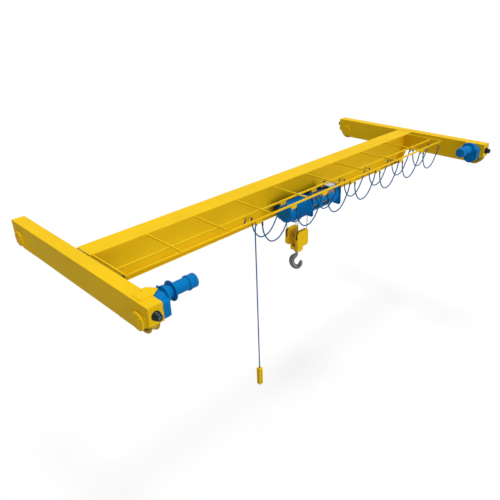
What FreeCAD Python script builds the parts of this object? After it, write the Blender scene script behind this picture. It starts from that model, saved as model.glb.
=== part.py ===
import FreeCAD, Part
import math, os

os.makedirs("parts", exist_ok=True)
V = FreeCAD.Vector

# ---- driving sizes, mm. X runs along the girder, Y along the runway, Z up ----
span = 10000            # between the two runway rails
wheel_base = 3920       # between the wheels of one carriage
carriage_len = 4430
carriage_w = 250
carriage_top = 500      # above the rail head
carriage_low = 20
end_low = 190           # lower edge of a carriage at its very end
chamfer_len = 340       # length of the sloped underside at each end
side_t, cover_t = 8, 10
girder_end_x = span / 2 - carriage_w / 2    # inner face of each carriage

wheel_r = 200
flange_r = 228
wheel_w = 150
rim_t = 20
shaft_r = 40
run = 0.05              # running clearance on a radius
pad_r = 150             # round boss outside each crane wheel

motor_z = 425           # axis of the travel motors
hump_r = 131
drive_r, cowl_r = 100, 120
case_gap = 16           # from the carriage side to the reducer
motor_gap = 80          # neck between reducer and motor
shaft_out = 150         # driven shafts reach this far past the carriage side

girder_depth = 750
top_w, top_t = 440, 12
low_w, low_t = 340, 20
web_t = 12              # one web on the girder's middle plane
flange_gap = 25         # the top flange stops this short of a carriage
end_t = 20              # plates that close the girder's ends
taper_x, taper_top_x = girder_end_x - 365, girder_end_x - 125
girder_end_low = 60

arm_count = 10
arm_first, arm_last = 75 - girder_end_x, girder_end_x - 220
arm_bar = 26            # side of the square arms
track_w, track_h = 28, 34
arm_lap = 100           # how far an arm reaches under the top flange
inner_rail_y, outer_rail_y = -860, -1145

loops = 7
loop_pitch = 953
first_loop = -1955
cable_r = 13
saddle_r = 72
saddle_drop = 123       # from the underside of the track to the saddle's centre
side_out = 95           # the cables hang this far from the middle of a saddle
lead_in = 60            # the first end hangs this far under its saddle's centre
pendant_r = 12
clamp_h = 60            # clamps that hold the last end of each cable

hoist_x = 410           # hook centre along the girder
drum_y, drum_z = -500, -75
drum_r = 165
case_r = 200
plate_half = 232        # half size of the hoist's square end plates
plate_cut = 38          # their cut corners
plate_left, plate_right = -315, 650
motor_r, cover_r = 228, 208
motor_left, cover_left = -820, -985

tw_r, tw_flange_r = 125, 143
tw_x = (-710, -380, 210, 550)
plate_over_left, plate_over_right = 150, 130     # side plates past the outer axles
tw_in = 62              # inner face of each wheel, from the web's middle
side_plate_y = 196

plate_t = 14            # trolley side plates
frame_t = 16            # hoist end plates
journal_r = 60
tw_pin = 22
ferrule = 60            # rope ends under the rope box

block_w, block_t, block_h = 380, 80, 410
block_y = 155           # middle of each sheave housing
block_top = -900
sheave_r = 160
rope_r = 8
lead_y = 185
beam_low = -395
pin_r = 30
cheek_t = 16
cross_low, cross_h = -1475, 110     # foot of the crosshead, and its height
hook_r = 34             # shank
hook_drop = 520         # from the crosshead's foot to the hook's lowest point
hook_turn = -46         # how far the hook is swivelled, in degrees

xl, xr = -span / 2, span / 2
yw = wheel_base / 2
yend = carriage_len / 2
girder_low = carriage_top - girder_depth
flange_top = girder_low + low_t
origin = V(span / 2, wheel_base / 2, 0)


def box(x0, x1, y0, y1, z0, z1):
    return Part.makeBox(abs(x1 - x0), abs(y1 - y0), abs(z1 - z0), V(min(x0, x1), min(y0, y1), min(z0, z1)))


def rod(p, axis, r, h):
    return Part.makeCylinder(r, h, V(*p), V(*axis))


def plate_yz(points, x0, x1):
    face = Part.Face(Part.makePolygon([V(x0, y, z) for y, z in points + points[:1]]))
    return face.extrude(V(x1 - x0, 0, 0))


def plate_xz(points, y0, y1):
    face = Part.Face(Part.makePolygon([V(x, y0, z) for x, z in points + points[:1]]))
    return face.extrude(V(0, y1 - y0, 0))


def plate_xy(points, z0, z1):
    face = Part.Face(Part.makePolygon([V(x, y, z0) for x, y in points + points[:1]]))
    return face.extrude(V(0, 0, z1 - z0))


def turned(profile, base, axis):
    # profile is (radius, distance) pairs, turned about +Z, then laid along axis
    pts = [V(r, 0, h) for r, h in profile]
    solid = Part.Face(Part.makePolygon(pts + pts[:1])).revolve(V(0, 0, 0), V(0, 0, 1), 360)
    turn = FreeCAD.Rotation(V(0, 0, 1), V(*axis))
    solid.Placement = FreeCAD.Placement(V(*base), turn)
    return solid


def save(name, shapes):
    if not isinstance(shapes, (list, tuple)):
        shapes = [shapes]
    out = shapes[0] if len(shapes) == 1 else Part.Compound(list(shapes))
    out = out.copy()
    out.translate(origin)
    out.exportStep("parts/" + name + ".step")


def mirror_y(shape):
    return shape.mirror(V(0, 0, 0), V(0, 1, 0))


def mirror_x(shape):
    return shape.mirror(V(0, 0, 0), V(1, 0, 0))


def tube(name, route, r):
    # straight runs joined by tangent arcs, each as large as its two runs allow
    p = [V(*q) for q in route]
    edges, here, radii = [], p[0], []
    for a, b, c in zip(p, p[1:], p[2:]):
        into, out = (b - a).normalize(), (c - b).normalize()
        half = into.getAngle(out) / 2
        cut = 0.45 * min((b - a).Length, (c - b).Length)
        radius = cut / math.tan(half)
        radii.append(round(radius))
        start, end = b - into * cut, b + out * cut
        inward = (out - into).normalize()
        middle = b + inward * (radius / math.cos(half) - radius)
        edges.append(Part.makeLine(here, start))
        edges.append(Part.Arc(start, middle, end).toShape())
        here = end
    edges.append(Part.makeLine(here, p[-1]))
    wire = Part.Wire(edges)
    circle = Part.Wire(Part.Circle(p[0], p[1] - p[0], r).toShape())
    solid = wire.makePipeShell([circle], True, False)
    off = solid.Volume / (math.pi * r * r * wire.Length) - 1
    print(name, "length", round(wire.Length), "radii", min(radii), "to", max(radii), "volume off by", round(off, 5))
    return solid


def bar_between(p, q, r):
    p, q = V(*p), V(*q)
    return Part.makeCylinder(r, (q - p).Length, p, q - p)


# ---- girder ----
def girder():
    x1 = girder_end_x - flange_gap
    save("girder_top_flange", box(-x1, x1, -top_w / 2, top_w / 2, carriage_top - top_t, carriage_top))
    x2 = girder_end_x - end_t
    z1 = carriage_top - top_t
    outline = [(-x2, z1), (-x2, girder_end_low), (-taper_top_x, girder_end_low), (-taper_x, flange_top),
               (taper_x, flange_top), (taper_top_x, girder_end_low), (x2, girder_end_low), (x2, z1)]
    save("girder_web", plate_xz(outline, -web_t / 2, web_t / 2))
    # the lower flange follows the sloped ends of the web
    dx, dz = taper_top_x - taper_x, girder_end_low - flange_top
    n = math.hypot(dx, dz)
    shift = low_t * (n - dx) / dz       # keeps the plate's thickness on the slope
    under = girder_end_low - low_t
    low = [(-x2, girder_end_low), (-taper_top_x, girder_end_low), (-taper_x, flange_top), (taper_x, flange_top),
           (taper_top_x, girder_end_low), (x2, girder_end_low), (x2, under), (taper_top_x + shift, under),
           (taper_x + shift, girder_low), (-taper_x - shift, girder_low), (-taper_top_x - shift, under), (-x2, under)]
    save("girder_bottom_flange", plate_xz(low, -low_w / 2, low_w / 2))
    end = box(x2, girder_end_x, -top_w / 2, top_w / 2, under, carriage_top - 30)
    save("girder_end_plates", [end, mirror_x(end)])


# ---- end carriages ----
def side_outline():
    return [(-yend, carriage_top), (-yend, end_low), (-yend + chamfer_len, carriage_low),
            (yend - chamfer_len, carriage_low), (yend, end_low), (yend, carriage_top)]


def carriage(xc):
    half = carriage_w / 2
    outer = plate_yz(side_outline(), xc - half, xc + half)
    inner = box(xc - half + side_t, xc + half - side_t, -yend - 1, yend + 1, carriage_low + cover_t,
                carriage_top - cover_t)
    body = outer.cut(inner)
    # the sloped ends stay open below for the wheels
    for s in (-1, 1):
        slot = box(xc - half + side_t, xc + half - side_t, s * (yend + 1), s * (yend - 520), -10, end_low + 120)
        body = body.cut(slot)
        body = body.cut(rod((xc - half - 1, s * yw, wheel_r), (1, 0, 0), shaft_r + 4, carriage_w + 2))
    return body


def end_plates():
    out = []
    for xc in (xl, xr):
        for s in (-1, 1):
            out.append(box(xc - carriage_w / 2 + side_t, xc + carriage_w / 2 - side_t, s * (yend - 6),
                           s * (yend - 18), end_low, carriage_top - cover_t))
    return out


def pads(xc, driven_side):
    # trapezoid plate and round boss on both sides of each wheel
    out = []
    half = carriage_w / 2
    for s in (-1, 1):
        for side in (-1, 1):
            x0 = xc + side * half
            outline = [(s * 1760, 335), (s * 2135, 335), (s * 2135, 168), (s * 1880, 30), (s * 1430, 30)]
            plate = plate_yz(outline, x0, x0 + side * 12)
            face = x0 + side * 12
            boss = turned([(0, 0), (pad_r, 0), (pad_r, 20), (pad_r - 10, 30), (0, 30)], (face, s * yw, wheel_r),
                          (side, 0, 0))
            pad = plate.fuse(boss).removeSplitter()
            deep = 26 if not (s < 0 and side == driven_side) else 60
            pad = pad.cut(rod((x0 - side * 2, s * yw, wheel_r), (side, 0, 0), shaft_r + run, deep + 2))
            out.append(pad)
    return out


def wheel(xc, s, driven_side):
    w = wheel_w / 2
    profile = [(0, -w), (flange_r - 12, -w), (flange_r, -w + 6), (flange_r, -w + rim_t - 6),
               (wheel_r + 6, -w + rim_t), (wheel_r, -w + rim_t + 4), (wheel_r, w - rim_t - 4),
               (wheel_r + 6, w - rim_t), (flange_r, w - rim_t + 6), (flange_r, w - 6), (flange_r - 12, w), (0, w)]
    tyre = turned(profile, (xc, s * yw, wheel_r), (1, 0, 0))
    a = -(carriage_w / 2 + 24)
    b = carriage_w / 2 + 24
    if s < 0:
        if driven_side > 0:
            b = carriage_w / 2 + shaft_out
        else:
            a = -(carriage_w / 2 + shaft_out)
    shaft = rod((xc + a, s * yw, wheel_r), (1, 0, 0), shaft_r, b - a)
    return tyre.fuse(shaft).removeSplitter()


def buffers():
    out = []
    for xc in (xl, xr):
        for s in (-1, 1):
            y = s * (yend - 6)
            foot = rod((xc, y, 334), (0, s, 0), 76, 10)
            cone = Part.makeCone(73, 44, 100, V(xc, y + s * 10, 334), V(0, s, 0))
            out.append(foot.fuse(cone).removeSplitter())
    return out


# ---- travel drives ----
def hull(circles, steps=48):
    # outline round several circles, as a list of points
    pts = []
    for i in range(steps):
        c = 2 * math.pi * i / steps
        y, z, r = max(circles, key=lambda q: q[0] * math.cos(c) + q[1] * math.sin(c) + q[2])
        pts.append((y + r * math.cos(c), z + r * math.sin(c)))
    return pts


def drive(side):
    # side is +1 on the left carriage, whose drive faces +X
    xc = xl if side > 0 else xr
    face = xc + side * carriage_w / 2
    pts = [(xc - side * 75, -yw - 35), (xc - side * 80, -yw + 195), (face + side * 37, -yw + 240),
           (face + side * 60, -yw + 225), (face + side * 155, -yw + 110), (face + side * 155, -yw + 68),
           (face + side * 7, -yw - 35)]
    bracket = plate_xy(pts, carriage_top, carriage_top + 12)
    x0, x1, x2 = face + side * case_gap, face + side * 185, face + side * 235
    # round below for the gear, flat in front, sloped above up to the motor's seat
    front, back = -yw - 153, -yw + 140
    outline = hull([(-yw + 10, wheel_r, 150), (front, wheel_r - 40, 12), (front, motor_z - 42, 12),
                    (front + 105, motor_z + 48, 12), (back - 40, motor_z + 48, 12), (back + 40, motor_z - 60, 12)])
    case = plate_yz(outline, x0, x1)
    case = case.cut(rod((face, -yw, wheel_r), (side, 0, 0), pad_r + 1, 48))
    case = case.fuse(rod((x1, -yw, motor_z), (side, 0, 0), hump_r, abs(x2 - x1)))
    case = case.fuse(rod((x1, -yw, wheel_r), (side, 0, 0), 96, abs(x2 - x1) - 10))
    case = case.fuse(rod((x2, -yw, motor_z), (side, 0, 0), 95, motor_gap))
    case = case.cut(rod((face, -yw, wheel_r), (side, 0, 0), shaft_r + run, shaft_out + 2))
    case = case.fuse(box(x0 + side * 10, face + side * 150, -yw + 50, -yw + 100, carriage_top - 60, carriage_top))
    mx = x2 + side * motor_gap
    r, c = drive_r, cowl_r
    profile = [(0, 0), (160, 0), (160, 18), (r, 18), (r, 300), (c, 306), (c, 392), (r, 400), (r - 4, 470),
               (60, 492), (0, 492)]
    motor = turned(profile, (mx, -yw, motor_z), (side, 0, 0))
    return bracket, case.removeSplitter(), motor


# ---- festoon ----
def arms():
    out = []
    pitch = (arm_last - arm_first) / (arm_count - 1)
    half = arm_bar / 2
    for i in range(arm_count):
        x = arm_first + i * pitch
        out.append(box(x - half, x + half, -top_w / 2 + arm_lap, outer_rail_y - track_w / 2, arm_low, arm_low + arm_bar))
    return out


def track(y):
    # hollow track with a slot along its underside
    z0, z1 = track_low, arm_low
    x0, x1 = arm_first - arm_bar / 2, arm_last + 60
    half = track_w / 2
    rail = box(x0, x1, y - half, y + half, z0, z1)
    rail = rail.cut(box(x0 - 1, x1 + 1, y - half + 4, y + half - 4, z0 + 4, z1 - 4))
    return rail.cut(box(x0 - 1, x1 + 1, y - 7, y + 7, z0 - 1, z0 + 5))


arm_low = carriage_top - top_t - arm_bar
track_low = arm_low - track_h
saddle_z = track_low - saddle_drop


def cable_trolley(x, y):
    # rollers in the track, and under it an arched saddle between two cheeks
    r = saddle_r
    top = saddle_z + saddle_r + 2 * cable_r + 1.8
    body = box(x - r, x + r, y - 16, y + 16, top, top + 5)
    body = body.fuse(box(x - 16, x + 16, y - 5, y + 5, top, track_low + 4))
    body = body.fuse(box(x - 30, x + 30, y - 9, y + 9, track_low + 4, track_low + 26))
    arch = rod((x, y - 13, saddle_z), (0, 1, 0), r, 26)
    arch = arch.cut(rod((x, y - 14, saddle_z), (0, 1, 0), r - 5, 28))
    arch = arch.cut(box(x - r - 1, x + r + 1, y - 14, y + 14, saddle_z - r - 1, saddle_z + r * 0.5))
    body = body.fuse(arch)
    low = saddle_z + r * 0.8
    w = r + 9
    tab = [(x - w, track_low - 1), (x - w, low + 26), (x - w + 24, low), (x + w - 24, low), (x + w, low + 26),
           (x + w, track_low - 1)]
    for s in (-1, 1):
        body = body.fuse(plate_xz(tab, y + s * 13, y + s * 16))
    return body.removeSplitter()


def cable_trolleys():
    out = []
    x = first_loop + loops * loop_pitch - side_out
    for y in (inner_rail_y, outer_rail_y):
        out += [cable_trolley(first_loop + i * loop_pitch, y) for i in range(loops)]
        out.append(box(x - 16, x + 16, y - 14, y + 14, track_low - clamp_h, track_low))
    return out


# route of one loop, from the top right of a saddle to the top left of the next: mm from the saddle's centre
loop_route = [(95, 86), (99, -96), (160, -268), (300, -430), (495, -440), (642, -345), (748, -200), (842, -45)]


def cable(y):
    start = (first_loop - side_out, y, saddle_z - lead_in)
    route = [start, (first_loop - side_out, y, saddle_z + 86)]
    for i in range(loops):
        x = first_loop + i * loop_pitch
        route += [(x + dx, y, saddle_z + dz) for dx, dz in loop_route]
        if i < loops - 1:
            route.append((x + loop_pitch - side_out, y, saddle_z + 86))
    # the end comes up aslant, so it stops just short of its clamp
    route.append((first_loop + loops * loop_pitch - side_out, y, track_low - clamp_h - 2.2))
    return route


box_top, box_low = -2916, -3350
pend_x, pend_y = first_loop - side_out + 4, outer_rail_y


def pendant_cable():
    # joins the outer cable beside its first saddle, swings out a little, then hangs straight
    x, z = first_loop - side_out, saddle_z - lead_in - 0.5
    return [(x, pend_y, z), (x - 5, pend_y, z - 110), (x + 1, pend_y, z - 250),
            (pend_x, pend_y, box_top - 23.9)]


def festoon():
    save("rail_arms", arms())
    save("cable_tracks", [track(inner_rail_y), track(outer_rail_y)])
    save("cable_trolleys", cable_trolleys())
    save("inner_cable", tube("inner_cable", cable(inner_rail_y), cable_r))
    save("outer_cable", tube("outer_cable", cable(outer_rail_y), cable_r))
    save("pendant_cable", tube("pendant_cable", pendant_cable(), pendant_r))
    body = box(pend_x - 45, pend_x + 45, pend_y - 45, pend_y + 45, box_low, box_top)
    body = body.makeChamfer(14, [e for e in body.Edges if abs(e.Vertexes[0].Z - e.Vertexes[1].Z) < 1])
    body = body.cut(rod((pend_x, pend_y, box_top - 24), (0, 0, 1), pendant_r + 0.3, 40))
    save("pendant_box", body)


# ---- hoist ----
def trolley_stops():
    out = []
    for x in (625 - span / 2, span / 2 - 720):
        for s in (-1, 1):
            base = box(x - 40, x + 40, s * (low_w / 2 - 70), s * low_w / 2, flange_top, flange_top + 90)
            pad = rod((x - 40 if x > 0 else x + 40, s * (low_w / 2 - 35), flange_top + 45),
                      (-1 if x > 0 else 1, 0, 0), 32, 45)
            out.append(base.fuse(pad).removeSplitter())
    return out


def trolley_wheel(x, s):
    c = (hoist_x + x, s * tw_in, flange_top + tw_r)
    rim = low_w / 2 + 4 - tw_in         # the flange runs just outside the girder's plate
    profile = [(0, 0), (tw_r, 0), (tw_r, rim - 4), (tw_flange_r - 4, rim), (tw_flange_r, rim + 3),
               (tw_flange_r, rim + 9), (tw_flange_r - 4, rim + 12), (0, rim + 12)]
    disc = turned(profile, c, (0, s, 0))
    pin = rod(c, (0, s, 0), tw_pin, side_plate_y + plate_t + 22 - tw_in)
    return disc.fuse(pin).removeSplitter()


def side_plate(s):
    # carries four wheels and reaches under the flange to the cross beams
    z1 = flange_top + tw_r + 70
    z0 = girder_low - 95
    x0, x1 = hoist_x + tw_x[0] - plate_over_left, hoist_x + tw_x[-1] + plate_over_right
    c = 60
    pts = [(x0, z0 + c), (x0 + c, z0), (x1 - c, z0), (x1, z0 + c), (x1, z1 - c), (x1 - c, z1), (x0 + c, z1),
           (x0, z1 - c)]
    y0, y1 = side_plate_y, side_plate_y + plate_t
    plate = plate_xz(pts, s * y0, s * y1)
    for x in tw_x:
        plate = plate.fuse(rod((hoist_x + x, s * y1, flange_top + tw_r), (0, s, 0), 42, 22))
    for x in tw_x:
        plate = plate.cut(rod((hoist_x + x, s * (y0 - 2), flange_top + tw_r), (0, s, 0), tw_pin + run, 66))
    return plate.removeSplitter()


def cross_beams():
    out = []
    z1, z0 = girder_low - 20, girder_low - 85
    y, w = side_plate_y, 40
    for x in (-620, 450):
        xc = hoist_x + x
        tube = box(xc - w, xc + w, -y, y, z0, z1)
        out.append(tube.cut(box(xc - w + 6, xc + w - 6, -y - 1, y + 1, z0 + 6, z1 - 6)))
    return out


def rope_box():
    # hollow box under the girder where the ropes turn over to the far side
    x0, x1 = hoist_x - 215, hoist_x + 215
    z0, z1 = beam_low, girder_low - 25
    y = side_plate_y
    outer = box(x0, x1, -y, y, z0, z1)
    body = outer.cut(box(x0 + 8, x1 - 8, -y + 8, y - 8, z0 + 8, z1 - 8))
    for s in (-1, 1):
        for e in (-1, 1):
            body = body.fuse(rod((hoist_x + e * sheave_r, s * lead_y, z0 - ferrule), (0, 0, 1), 20, ferrule + 4))
    return body.removeSplitter()


def hoist():
    save("trolley_plates", [side_plate(-1), side_plate(1)])
    save("cross_beams", cross_beams() + [rope_box()])
    # square end plates of the drum frame, bored for the drum's journals
    plates = []
    y0, y1 = drum_y - plate_half, -side_plate_y - plate_t
    z0, z1 = drum_z - plate_half, drum_z + plate_half
    c = plate_cut
    outline = [(y0, z0 + c), (y0 + c, z0), (y1 - c, z0), (y1, z0 + c), (y1, z1 - c), (y1 - c, z1), (y0 + c, z1),
               (y0, z1 - c)]
    for x in (plate_left, plate_right):
        p = plate_yz(outline, hoist_x + x, hoist_x + x + frame_t)
        p = p.cut(rod((hoist_x + x - 1, drum_y, drum_z), (1, 0, 0), journal_r + run, frame_t + 2))
        plates.append(p)
    save("drum_end_plates", plates)
    x0, x1 = hoist_x + plate_left + frame_t, hoist_x + plate_right
    shell = rod((x0, drum_y, drum_z), (1, 0, 0), case_r, x1 - x0)
    shell = shell.cut(rod((x0 - 1, drum_y, drum_z), (1, 0, 0), case_r - 5, x1 - x0 + 2))
    for a, b in ((x0 + 40, x0 + 180), (x0 + 220, x0 + 320), (x0 + 360, x1 - 210)):
        shell = shell.cut(box(a, b, drum_y - case_r, drum_y + 120, drum_z + 100, drum_z + case_r + 5))
    shell = shell.cut(box(x1 - 211, x1 - 60, drum_y - case_r, drum_y - 75, drum_z + 100, drum_z + case_r + 5))
    shell = shell.cut(box(x0 - 1, x1 + 1, drum_y - 60, drum_y + case_r + 5, drum_z - case_r - 5, drum_z - 60))
    for a, b in ((50, 215), (345, 595), (665, 730)):
        # windows along the lower front
        shell = shell.cut(box(x0 + a, x0 + b, drum_y - case_r - 5, drum_y - 120, drum_z - 68, drum_z + 22))
    save("drum_casing", shell)
    n = x1 - x0
    r, j = drum_r, journal_r
    profile = [(0, -10), (j, -10), (j, 16), (r, 16), (r, 30), (r - 8, 32), (r - 8, n - 18), (r, n - 16), (r, n - 2),
               (j, n - 2), (j, n + 12), (0, n + 12)]
    save("rope_drum", turned(profile, (x0, drum_y, drum_z), (1, 0, 0)))
    m0, m1 = hoist_x + motor_left, hoist_x + plate_left
    motor = rod((m0, drum_y, drum_z), (1, 0, 0), motor_r, m1 - m0)
    motor = motor.cut(rod((m1 - 20, drum_y, drum_z), (1, 0, 0), journal_r + 6, 21))
    save("hoist_motor", motor)
    cover = rod((hoist_x + cover_left, drum_y, drum_z), (1, 0, 0), cover_r, m0 - hoist_x - cover_left)
    save("hoist_gear_cover", cover)
    e0 = hoist_x + plate_right
    top = math.sqrt(case_r ** 2 - 110 ** 2)
    grey = box(e0 - 200, e0, drum_y - 70, drum_y + 110, drum_z + top, drum_z + plate_half)
    grey = grey.cut(rod((e0 - 201, drum_y, drum_z), (1, 0, 0), case_r + 0.5, 202))
    save("control_box", grey)
    for s, word in ((-1, "near"), (1, "far")):
        for x, n in zip(tw_x, ("1", "2", "3", "4")):
            save("trolley_wheel_%s_%s" % (word, n), trolley_wheel(x, s))


# ---- hook block ----
block_cz = block_top - block_h / 2


def sheave(s):
    r = sheave_r - rope_r
    w = 26
    profile = [(pin_r, -w), (r + 14, -w), (r + 14, -w + 2), (r, -9), (r, 9), (r + 14, w - 2), (r + 14, w),
               (pin_r, w)]
    return turned(profile, (hoist_x, s * block_y, block_cz), (0, 1, 0))


def housing(s):
    y0, y1 = s * block_y - block_t / 2, s * block_y + block_t / 2
    w, h = block_w / 2, block_h
    z1, z0 = block_top, block_top - h
    c = 45
    pts = [(-w, z0 + c), (-w + c, z0), (w - c, z0), (w, z0 + c), (w, z1 - c), (w - c, z1), (-w + c, z1), (-w, z1 - c)]
    outer = plate_xz([(hoist_x + x, z) for x, z in pts], y0, y1)
    t = 8
    pin = [(-w + t, z0 + c), (-w + c, z0 + t), (w - c, z0 + t), (w - t, z0 + c), (w - t, z1 - c), (w - c, z1 - t),
           (-w + c, z1 - t), (-w + t, z1 - c)]
    inner = plate_xz([(hoist_x + x, z) for x, z in pin], y0 + t, y1 - t)
    body = outer.cut(inner)
    for e in (-1, 1):
        xa, xb = sorted((hoist_x + e * (sheave_r - 22), hoist_x + e * (w + 2)))
        body = body.cut(box(xa, xb, y0 + t, y1 - t, block_cz + 10, z1 + 1))
    bore = rod((hoist_x, y0 - 1, block_cz), (0, 1, 0), pin_r, block_t + 2)
    return body.cut(bore)


def hook():
    # forged hook: round shank, then a bowl that thickens at the back and thins to its tip
    top = cross_low + cross_h
    shank = rod((hoist_x, 0, cross_low - 60), (0, 0, 1), hook_r, top + 70 - cross_low + 60)
    nut = rod((hoist_x, 0, top + 4), (0, 0, 1), 58, 44)
    cz = cross_low - hook_drop + 215    # centre of the throat
    pts = [(0, cross_low - 45, 34), (0, cz + 220, 36), (-8, cz + 190, 44), (-38, cz + 162, 58), (-82, cz + 122, 66),
           (-110, cz + 70, 66), (-118, cz + 5, 62), (-95, cz - 70, 62), (-50, cz - 125, 61), (5, cz - 148, 60),
           (52, cz - 128, 56), (88, cz - 80, 50), (103, cz - 20, 43), (110, cz + 25, 24)]
    body = shank.fuse(nut)
    rings = []
    for i, (x, z, r) in enumerate(pts):
        a, b = pts[max(0, i - 1)], pts[min(len(pts) - 1, i + 1)]
        along = V(b[0] - a[0], 0, b[1] - a[1]).normalize()
        w = Part.Wire(Part.Ellipse(V(0, 0, 0), r, r * 0.72).toShape())
        # long axis of each section lies in the plane of the hook
        w.Placement = FreeCAD.Placement(V(hoist_x + x, 0, z), FreeCAD.Rotation(V(0, 0, 1), along))
        rings.append(w)
    bowl = Part.makeLoft(rings, True, False)
    body = body.fuse(bowl).removeSplitter()
    body.rotate(V(hoist_x, 0, 0), V(0, 0, 1), hook_turn)
    return body


def block():
    save("sheave_housings", [housing(-1), housing(1)])
    save("block_sheaves", [sheave(-1), sheave(1)])
    pin_y = block_y + block_t / 2 + 12
    save("sheave_pin", rod((hoist_x, -pin_y, block_cz), (0, 1, 0), pin_r - 0.1, 2 * pin_y))
    # crosshead between two cheeks, which hang from the sheave pin inside the housings
    y = block_y - block_t / 2
    top = cross_low + cross_h
    c = box(hoist_x - 75, hoist_x + 75, -y + cheek_t, y - cheek_t, cross_low + 20, top)
    c = c.cut(rod((hoist_x, 0, cross_low), (0, 0, 1), hook_r + run, cross_h + 30))
    for s in (-1, 1):
        outline = [(-95, cross_low + 40), (-55, cross_low), (55, cross_low), (95, cross_low + 40), (95, top + 40),
                   (60, block_cz + 40), (40, block_cz + 62), (-40, block_cz + 62), (-60, block_cz + 40), (-95, top + 40)]
        cheek = plate_xz([(hoist_x + a, b) for a, b in outline], s * (y - cheek_t), s * y)
        cheek = cheek.cut(rod((hoist_x, s * (y + 1), block_cz), (0, -s, 0), pin_r, cheek_t + 2))
        c = c.fuse(cheek)
    save("crosshead", c.removeSplitter())
    save("hook", hook())


def falls():
    out = []
    for s in (-1, 1):
        for e in (-1, 1):
            out.append(bar_between((hoist_x + e * sheave_r, s * block_y, block_cz),
                                   (hoist_x + e * sheave_r, s * lead_y, beam_low - ferrule - 0.8), rope_r))
    return out


def main():
    girder()
    save("left_carriage", carriage(xl))
    save("right_carriage", carriage(xr))
    save("carriage_end_plates", end_plates())
    save("wheel_pads", pads(xl, 1) + pads(xr, -1))
    for xc, word, side in ((xl, "left", 1), (xr, "right", -1)):
        for s, end in ((-1, "near"), (1, "far")):
            save("wheel_%s_%s" % (word, end), wheel(xc, s, side))
    save("buffers", buffers())
    parts = [drive(1), drive(-1)]
    save("drive_brackets", [p[0] for p in parts])
    save("travel_reducers", [p[1] for p in parts])
    save("travel_motors", [p[2] for p in parts])
    festoon()
    save("trolley_stops", trolley_stops())
    hoist()
    block()
    save("rope_falls", falls())


main()
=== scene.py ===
# Overhead bridge crane, dressed for a studio picture
import bpy
import bmesh
import math
import random
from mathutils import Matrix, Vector


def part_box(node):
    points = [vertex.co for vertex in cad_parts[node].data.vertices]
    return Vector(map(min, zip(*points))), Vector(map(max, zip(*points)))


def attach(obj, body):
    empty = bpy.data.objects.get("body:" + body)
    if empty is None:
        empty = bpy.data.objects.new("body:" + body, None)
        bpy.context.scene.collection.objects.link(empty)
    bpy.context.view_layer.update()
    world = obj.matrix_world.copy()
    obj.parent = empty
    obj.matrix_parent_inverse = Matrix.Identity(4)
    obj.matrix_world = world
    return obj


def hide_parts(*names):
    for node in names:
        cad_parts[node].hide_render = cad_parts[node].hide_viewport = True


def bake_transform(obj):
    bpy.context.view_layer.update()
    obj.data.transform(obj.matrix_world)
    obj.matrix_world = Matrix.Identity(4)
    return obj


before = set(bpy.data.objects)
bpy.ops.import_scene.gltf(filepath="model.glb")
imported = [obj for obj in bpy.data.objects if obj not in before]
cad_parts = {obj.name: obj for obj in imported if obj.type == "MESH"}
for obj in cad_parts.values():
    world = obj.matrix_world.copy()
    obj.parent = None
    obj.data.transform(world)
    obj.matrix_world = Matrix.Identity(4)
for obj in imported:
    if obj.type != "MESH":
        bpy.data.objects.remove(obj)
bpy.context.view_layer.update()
random.seed(11)
scene = bpy.context.scene
webLow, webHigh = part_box("girder_web")
midX = (webLow.x + webHigh.x) / 2
midY = (webLow.y + webHigh.y) / 2
print("frame loaded:", len(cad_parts), "nodes")


def spot(x, y, z):
    # millimetres from the girder's middle and the foot of the wheels, as a place in the frame
    return Vector((midX + x / 1000, midY + y / 1000, z / 1000))


cameraKit = {
    "place": (-3.2307, -5.5913, 4.3925),
    "turn": (62.9821, 1.8605, -44.2187),
    "lens": 38.585,
    "sensor": 36,
    "sight": 6000,
}


def placeCamera(kit=cameraKit):
    data = bpy.data.cameras.new("camera")
    data.lens = kit["lens"]
    data.sensor_width = kit["sensor"]
    data.clip_end = kit["sight"]
    camera = bpy.data.objects.new("camera", data)
    camera.location = kit["place"]
    camera.rotation_euler = [math.radians(a) for a in kit["turn"]]
    scene.collection.objects.link(camera)
    scene.camera = camera


placeCamera()

# what a surface has unless its own kit says otherwise
plainSurface = {
    "metal": 0.0, "gloss": 0.3,
    "broad": 1.4, "broadDetail": 5, "shadeEnds": (0.3, 0.62),
    "grain": 60, "grainDetail": 3, "grainEnds": (0.3, 0.7), "relief": 0.08, "reliefHigh": 0.002,
}

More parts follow.
